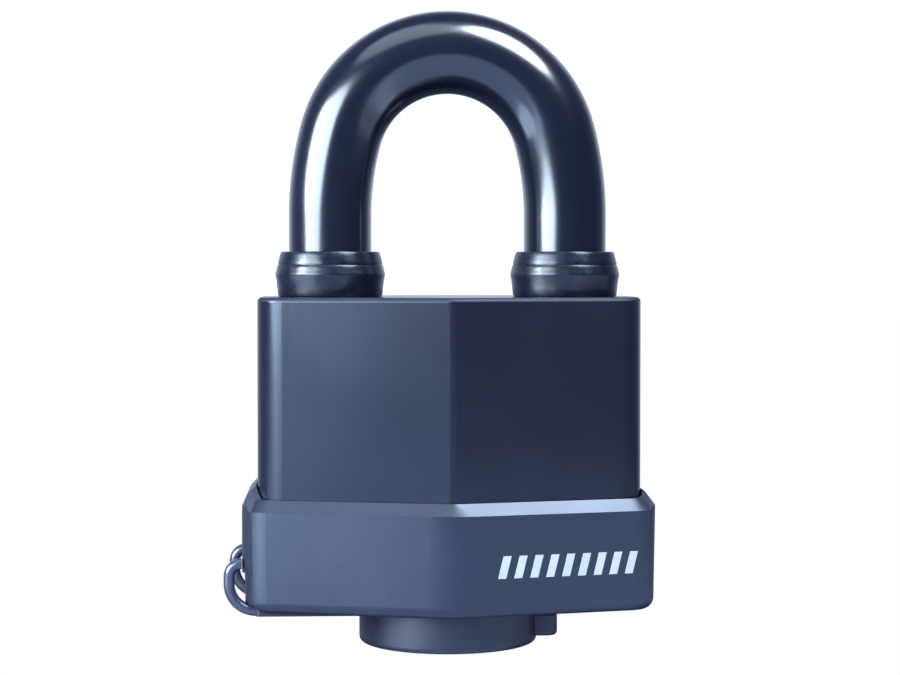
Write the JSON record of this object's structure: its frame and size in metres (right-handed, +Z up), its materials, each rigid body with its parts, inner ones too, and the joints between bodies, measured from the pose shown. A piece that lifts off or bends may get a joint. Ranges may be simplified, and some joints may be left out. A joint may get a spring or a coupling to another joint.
{
  "type": "covered laminated padlock",
  "caption": "Weatherproof padlock: laminated steel body in a creased plastic jacket with a base cover, sleeved lifting shackle, rubber leg seals and a hinged dust cap over the keyway.",
  "frame": {"origin": "middle of the dust cap's flat lower face, on the lock's upright axis", "axes": "X to the right across the two shackle legs, Y away from the viewer (front face looks along -Y), Z up towards the shackle"},
  "size_m": [0.0786, 0.0436, 0.1167],
  "materials": {
    "lamination_steel": "pressed steel plate edges, lightly oiled",
    "shackle_steel": "hardened round bar, plain plated",
    "rivet_steel": "flush rivet steel",
    "cam_steel": "sintered steel cam",
    "spring_steel": "drawn spring wire",
    "ball_steel": "polished bearing steel",
    "cylinder_brass": "machined brass",
    "plug_brass": "machined brass, turned face",
    "brass_pins": "turned brass pins",
    "vinyl_sleeve": "glossy blue-black soft vinyl",
    "jacket_plastic": "satin blue-black moulded plastic with fine upright streaks",
    "base_plastic": "satin blue-black moulded plastic, fine grain",
    "seal_rubber": "dull blue-black rubber",
    "cap_rubber": "dull blue-black rubber, smooth"
  },
  "bodies": {
    "lock_body": {"jacket": "jacket_plastic", "base_cover": "base_plastic", "hinge_pad": "base_plastic", "base_gasket": "seal_rubber", "plate_01": "lamination_steel", "plate_02": "lamination_steel", "plate_03": "lamination_steel", "plate_04": "lamination_steel", "plate_05": "lamination_steel", "plate_06": "lamination_steel", "plate_07": "lamination_steel", "plate_08": "lamination_steel", "plate_09": "lamination_steel", "plate_10": "lamination_steel", "plate_11": "lamination_steel", "plate_12": "lamination_steel", "plate_13": "lamination_steel", "plate_14": "lamination_steel", "plate_15": "lamination_steel", "plate_16": "lamination_steel", "plate_17": "lamination_steel", "plate_18": "lamination_steel", "plate_19": "lamination_steel", "plate_20": "lamination_steel", "plate_21": "lamination_steel", "plate_22": "lamination_steel", "rivets": "rivet_steel", "cylinder_shell": "cylinder_brass", "chamber_cover": "cylinder_brass", "shackle_spring": "spring_steel", "pin_spring_1": "spring_steel", "pin_spring_2": "spring_steel", "pin_spring_3": "spring_steel", "pin_spring_4": "spring_steel", "pin_spring_5": "spring_steel"},
    "shackle": {"shackle": "shackle_steel", "shackle_sleeve": "vinyl_sleeve", "heel_seal": "seal_rubber", "toe_seal": "seal_rubber"},
    "plug": {"cylinder_plug": "plug_brass", "plug_clip": "spring_steel", "actuator": "cam_steel"},
    "ball_left": {"ball_left": "ball_steel"},
    "ball_right": {"ball_right": "ball_steel"},
    "dust_cap": {"keyway_cap": "cap_rubber", "hinge_loop_front": "cap_rubber", "hinge_loop_rear": "cap_rubber"},
    "driver_pin_1": {"driver_pin_1": "brass_pins"},
    "driver_pin_2": {"driver_pin_2": "brass_pins"},
    "driver_pin_3": {"driver_pin_3": "brass_pins"},
    "driver_pin_4": {"driver_pin_4": "brass_pins"},
    "driver_pin_5": {"driver_pin_5": "brass_pins"},
    "key_pin_1": {"key_pin_1": "brass_pins"},
    "key_pin_2": {"key_pin_2": "brass_pins"},
    "key_pin_3": {"key_pin_3": "brass_pins"},
    "key_pin_4": {"key_pin_4": "brass_pins"},
    "key_pin_5": {"key_pin_5": "brass_pins"}
  },
  "joints": [
    {"name": "shackle_lift", "type": "slide", "parent": "lock_body", "child": "shackle", "axis": [0, 0, 1], "range_m": [0, 0.017], "deforming": ["shackle_spring"]},
    {"name": "plug_turn", "type": "hinge", "parent": "lock_body", "child": "plug", "pos_m": [0, 0, 0.02], "axis": [0, 0, 1], "range_deg": [-90, 0]},
    {"name": "ball_left_slide", "type": "slide", "parent": "lock_body", "child": "ball_left", "axis": [-1, 0, 0], "range_m": [0, 0.0025]},
    {"name": "ball_right_slide", "type": "slide", "parent": "lock_body", "child": "ball_right", "axis": [1, 0, 0], "range_m": [0, 0.0025]},
    {"name": "cap_hinge", "type": "hinge", "parent": "lock_body", "child": "dust_cap", "pos_m": [-0.0376, 0, 0.009], "axis": [0, 1, 0], "range_deg": [0, 110], "deforming": ["hinge_loop_front", "hinge_loop_rear"]},
    {"name": "driver_pin_1_slide", "type": "slide", "parent": "lock_body", "child": "driver_pin_1", "axis": [0, 1, 0], "range_m": [0, 0.0012], "stiffness_N_per_m": 80, "springref_m": -0.002, "deforming": ["pin_spring_1"]},
    {"name": "driver_pin_2_slide", "type": "slide", "parent": "lock_body", "child": "driver_pin_2", "axis": [0, 1, 0], "range_m": [0, 0.0012], "stiffness_N_per_m": 80, "springref_m": -0.002, "deforming": ["pin_spring_2"]},
    {"name": "driver_pin_3_slide", "type": "slide", "parent": "lock_body", "child": "driver_pin_3", "axis": [0, 1, 0], "range_m": [0, 0.0012], "stiffness_N_per_m": 80, "springref_m": -0.002, "deforming": ["pin_spring_3"]},
    {"name": "driver_pin_4_slide", "type": "slide", "parent": "lock_body", "child": "driver_pin_4", "axis": [0, 1, 0], "range_m": [0, 0.0012], "stiffness_N_per_m": 80, "springref_m": -0.002, "deforming": ["pin_spring_4"]},
    {"name": "driver_pin_5_slide", "type": "slide", "parent": "lock_body", "child": "driver_pin_5", "axis": [0, 1, 0], "range_m": [0, 0.0012], "stiffness_N_per_m": 80, "springref_m": -0.002, "deforming": ["pin_spring_5"]},
    {"name": "key_pin_1_slide", "type": "slide", "parent": "plug", "child": "key_pin_1", "axis": [1, 0, 0], "range_m": [0, 0.0012]},
    {"name": "key_pin_2_slide", "type": "slide", "parent": "plug", "child": "key_pin_2", "axis": [1, 0, 0], "range_m": [0, 0.0012]},
    {"name": "key_pin_3_slide", "type": "slide", "parent": "plug", "child": "key_pin_3", "axis": [1, 0, 0], "range_m": [0, 0.0012]},
    {"name": "key_pin_4_slide", "type": "slide", "parent": "plug", "child": "key_pin_4", "axis": [1, 0, 0], "range_m": [0, 0.0012]},
    {"name": "key_pin_5_slide", "type": "slide", "parent": "plug", "child": "key_pin_5", "axis": [1, 0, 0], "range_m": [0, 0.0012]}
  ],
  "couplings": [
    {"joint": "plug_turn", "follows": "ball_left_slide", "rad_per_m": -628.3},
    {"joint": "ball_right_slide", "follows": "ball_left_slide", "ratio": 1}
  ]
}
